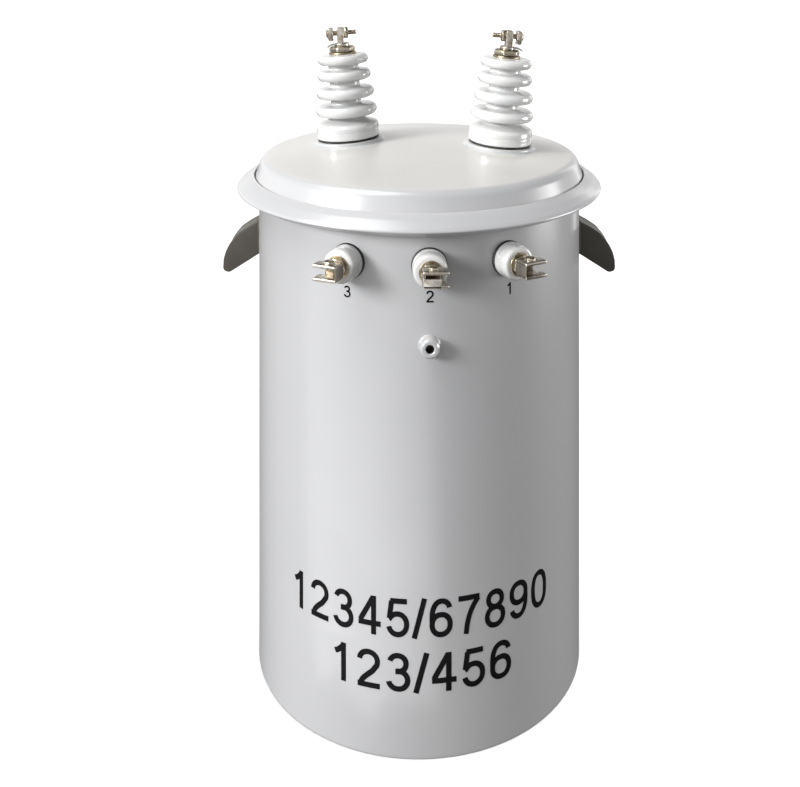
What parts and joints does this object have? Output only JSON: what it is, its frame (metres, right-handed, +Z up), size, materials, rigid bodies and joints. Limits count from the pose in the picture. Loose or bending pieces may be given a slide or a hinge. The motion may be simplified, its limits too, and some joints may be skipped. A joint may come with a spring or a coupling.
{
  "type": "pole mounted transformer",
  "caption": "Round steel distribution transformer tank with a domed clamped cover, porcelain bushings with wire clamps, lifting lugs, a grounding boss and pole hanger brackets.",
  "frame": {"origin": "on the tank's axis, in the plane of its bottom edge", "axes": "+Z up along the tank's axis, -Y towards the low voltage bushings, +Y towards the pole"},
  "size_m": [0.551, 0.562, 0.8646],
  "materials": {
    "tank_paint": "semi-gloss light grey enamel",
    "lug_paint": "dark grey-brown paint",
    "porcelain": "glazed white porcelain",
    "tinned_bronze": "tinned bronze, dull",
    "gasket_rubber": "matt",
    "zinc_steel": "zinc plated",
    "core_iron": "varnished core steel and paper-covered coil"
  },
  "bodies": {
    "root": {"tank_shell": "tank_paint", "tank_bottom": "tank_paint", "core_and_coils": "core_iron", "tank_flange": "tank_paint", "cover_gasket": "gasket_rubber", "cover": "tank_paint", "clamp_ring": "tank_paint", "clamp_ring_lug_left": "tank_paint", "clamp_ring_lug_right": "tank_paint", "clamp_ring_bolt": "zinc_steel", "lifting_lug_left": "lug_paint", "lifting_lug_right": "lug_paint", "hanger_bracket_upper": "tank_paint", "hanger_bracket_lower": "tank_paint", "ground_boss": "tank_paint", "hv_gasket_left": "gasket_rubber", "hv_gasket_right": "gasket_rubber", "hv_bushing_left": "porcelain", "hv_bushing_right": "porcelain", "hv_stud_nut_left": "tinned_bronze", "hv_stud_nut_right": "tinned_bronze", "hv_clamp_left": "tinned_bronze", "hv_clamp_right": "tinned_bronze", "hv_clamp_jaw_left": "tinned_bronze", "hv_clamp_jaw_right": "tinned_bronze", "hv_clamp_bolt_left": "tinned_bronze", "hv_clamp_bolt_right": "tinned_bronze", "lv_gasket_left": "gasket_rubber", "lv_gasket_middle": "gasket_rubber", "lv_gasket_right": "gasket_rubber", "lv_bushing_left": "porcelain", "lv_bushing_middle": "porcelain", "lv_bushing_right": "porcelain", "lv_stud_nut_left": "tinned_bronze", "lv_stud_nut_middle": "tinned_bronze", "lv_stud_nut_right": "tinned_bronze", "lv_clamp_left": "tinned_bronze", "lv_clamp_middle": "tinned_bronze", "lv_clamp_right": "tinned_bronze", "lv_clamp_screw_left": "tinned_bronze", "lv_clamp_screw_middle": "tinned_bronze", "lv_clamp_screw_right": "tinned_bronze"}
  },
  "joints": []
}
